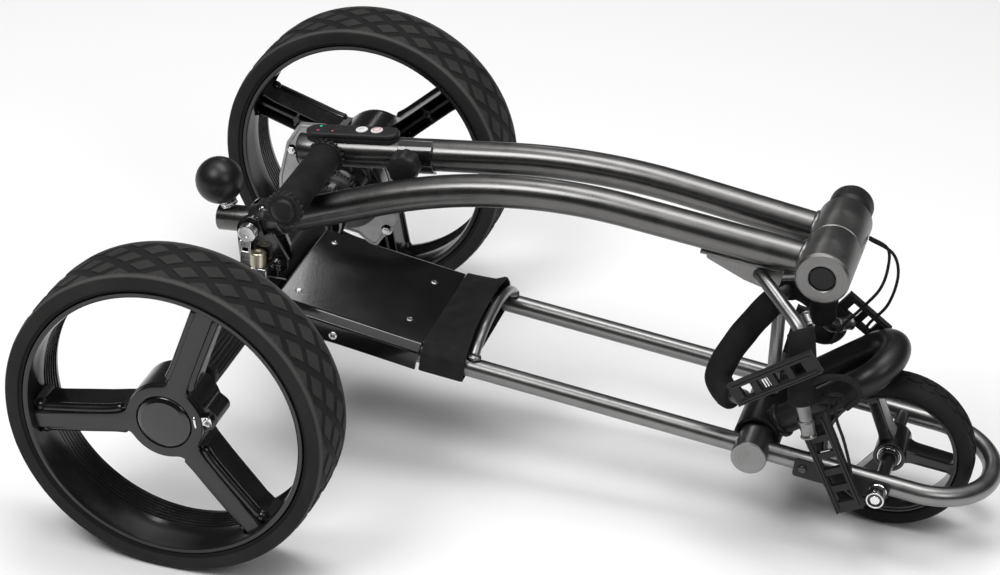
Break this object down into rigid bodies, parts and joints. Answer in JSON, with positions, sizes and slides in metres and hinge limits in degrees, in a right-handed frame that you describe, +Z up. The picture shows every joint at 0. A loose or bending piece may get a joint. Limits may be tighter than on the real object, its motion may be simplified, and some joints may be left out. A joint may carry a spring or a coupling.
{
  "type": "electric golf trolley",
  "caption": "Folding electric golf trolley, folded flat: two rear wheels on a motor axle, a twin-tube frame with a battery tray, a folding post and handle, and foam-padded bag cradles.",
  "frame": {"origin": "on the ground, under the middle of the folded trolley's bounding box", "axes": "+X towards the small front wheel, +Y to the trolley's left, +Z up"},
  "size_m": [0.8251, 0.583, 0.3003],
  "materials": {
    "stainless": "brushed stainless tube, long fine grain",
    "gunmetal": "dark titanium-grey brushed tube under clear lacquer",
    "satin_steel": "satin bead-blasted steel",
    "chrome": "bright plated",
    "brass": "pale knurled brass",
    "casting": "light grey cast alloy",
    "black_paint": "black powder coat",
    "gloss_black": "gloss black with a slight orange peel",
    "black_plastic": "fine-grained black moulding",
    "rim_plastic": "semi-gloss black moulding",
    "tyre": "matt dark grey moulded tread",
    "foam": "closed-cell black foam",
    "webbing": "black woven webbing",
    "white_plastic": "matt off-white button",
    "red_plastic": "matt pale red button"
  },
  "bodies": {
    "frame": {"lower_frame_tube": "stainless", "cross_tube": "stainless", "stop_bar": "stainless", "battery_tray": "gloss_black", "control_box": "black_plastic", "battery_strap": "webbing", "axle_housing": "black_paint", "left_motor": "black_plastic", "left_gearbox_plate": "casting", "hinge_plate_right": "black_paint", "hinge_plate_left": "black_paint", "hinge_pin": "chrome", "latch_block": "chrome", "bottom_rest": "gloss_black", "lower_cradle_rod": "chrome", "lower_foam_right": "foam", "lower_foam_left": "foam", "right_axle_bracket": "black_paint", "left_axle_bracket": "black_paint", "front_axle": "black_paint", "front_axle_nut": "chrome"},
    "right_wheel": {"right_tyre": "tyre", "right_rim": "rim_plastic", "right_hub_cap": "gloss_black", "right_drive_shaft": "chrome"},
    "right_release": {"right_release_button": "chrome"},
    "left_wheel": {"left_tyre": "tyre", "left_rim": "rim_plastic", "left_hub_cap": "gloss_black", "left_drive_shaft": "chrome"},
    "left_release": {"left_release_button": "chrome"},
    "front_wheel": {"front_tyre": "tyre", "front_rim": "rim_plastic", "front_bearing_right": "chrome", "front_bearing_left": "chrome"},
    "post": {"post_tube": "gunmetal", "post_knuckle": "satin_steel", "knuckle_plug": "black_plastic", "barrel_pin": "chrome", "upper_cradle_bracket": "satin_steel", "upper_cradle_rod": "chrome", "upper_foam_right": "foam", "upper_foam_left": "foam"},
    "post_lock": {"post_lock_knob": "black_plastic"},
    "upper_strap_r": {"upper_strap_right": "black_plastic"},
    "upper_strap_l": {"upper_strap_left": "black_plastic"},
    "handle": {"handle_tube": "gunmetal", "handle_knuckle": "satin_steel", "grip_foam": "foam", "controller_housing": "black_plastic", "accessory_clamp": "black_plastic"},
    "power_key": {"power_button": "white_plastic"},
    "speed_key": {"speed_button": "red_plastic"},
    "hinge_lock": {"hinge_knob": "black_plastic"},
    "accessory_screw": {"accessory_knob": "black_plastic"},
    "lower_strap_r": {"lower_strap_right": "black_plastic"},
    "lower_strap_l": {"lower_strap_left": "black_plastic"},
    "latch": {"latch_nut": "brass"}
  },
  "joints": [
    {"name": "post_fold", "type": "hinge", "parent": "frame", "child": "post", "pos_m": [-0.27858, -0.031, 0.21], "axis": [0, -1, 0], "range_deg": [0, 88]},
    {"name": "handle_fold", "type": "hinge", "parent": "post", "child": "handle", "pos_m": [0.24442, 0, 0.2685], "axis": [0, 1, 0], "range_deg": [0, 150]},
    {"name": "right_wheel_spin", "type": "hinge", "parent": "frame", "child": "right_wheel", "pos_m": [-0.26758, -0.258, 0.145], "axis": [0, 1, 0], "continuous": true},
    {"name": "left_wheel_spin", "type": "hinge", "parent": "frame", "child": "left_wheel", "pos_m": [-0.26758, 0.258, 0.145], "axis": [0, 1, 0], "continuous": true},
    {"name": "front_wheel_spin", "type": "hinge", "parent": "frame", "child": "front_wheel", "pos_m": [0.31341, 0, 0.074], "axis": [0, 1, 0], "continuous": true},
    {"name": "right_release_press", "type": "slide", "parent": "right_wheel", "child": "right_release", "axis": [0, 1, 0], "range_m": [0, 0.003]},
    {"name": "left_release_press", "type": "slide", "parent": "left_wheel", "child": "left_release", "axis": [0, -1, 0], "range_m": [0, 0.003]},
    {"name": "hinge_knob_turn", "type": "hinge", "parent": "handle", "child": "hinge_lock", "pos_m": [0.24442, 0.066, 0.2685], "axis": [0, 1, 0], "range_deg": [0, 270]},
    {"name": "post_lock_turn", "type": "hinge", "parent": "post", "child": "post_lock", "pos_m": [-0.31558, -0.031, 0.244], "axis": [-0.3831, 0, 0.9237], "range_deg": [0, 270]},
    {"name": "accessory_knob_turn", "type": "hinge", "parent": "handle", "child": "accessory_screw", "pos_m": [-0.14967, 0.001, 0.27213], "axis": [0, -1, 0], "range_deg": [0, 270]},
    {"name": "latch_turn", "type": "hinge", "parent": "frame", "child": "latch", "pos_m": [-0.26758, -0.06, 0.187], "axis": [0, 0, 1], "range_deg": [0, 270]},
    {"name": "power_press", "type": "slide", "parent": "handle", "child": "power_key", "axis": [0.124, 0, -0.9923], "range_m": [0, 0.001]},
    {"name": "speed_press", "type": "slide", "parent": "handle", "child": "speed_key", "axis": [0.124, 0, -0.9923], "range_m": [0, 0.001]},
    {"name": "upper_strap_right_swing", "type": "hinge", "parent": "post", "child": "upper_strap_r", "pos_m": [0.25142, -0.085, 0.139], "axis": [0, 1, 0], "range_deg": [0, 20]},
    {"name": "upper_strap_left_swing", "type": "hinge", "parent": "post", "child": "upper_strap_l", "pos_m": [0.25842, 0.053, 0.167], "axis": [0, 1, 0], "range_deg": [0, 15]},
    {"name": "lower_strap_right_swing", "type": "hinge", "parent": "frame", "child": "lower_strap_r", "pos_m": [0.18942, -0.108, 0.168], "axis": [0, 1, 0], "range_deg": [-15, 25]},
    {"name": "lower_strap_left_swing", "type": "hinge", "parent": "frame", "child": "lower_strap_l", "pos_m": [0.21142, 0.094, 0.139], "axis": [0, 1, 0], "range_deg": [-15, 15]}
  ]
}
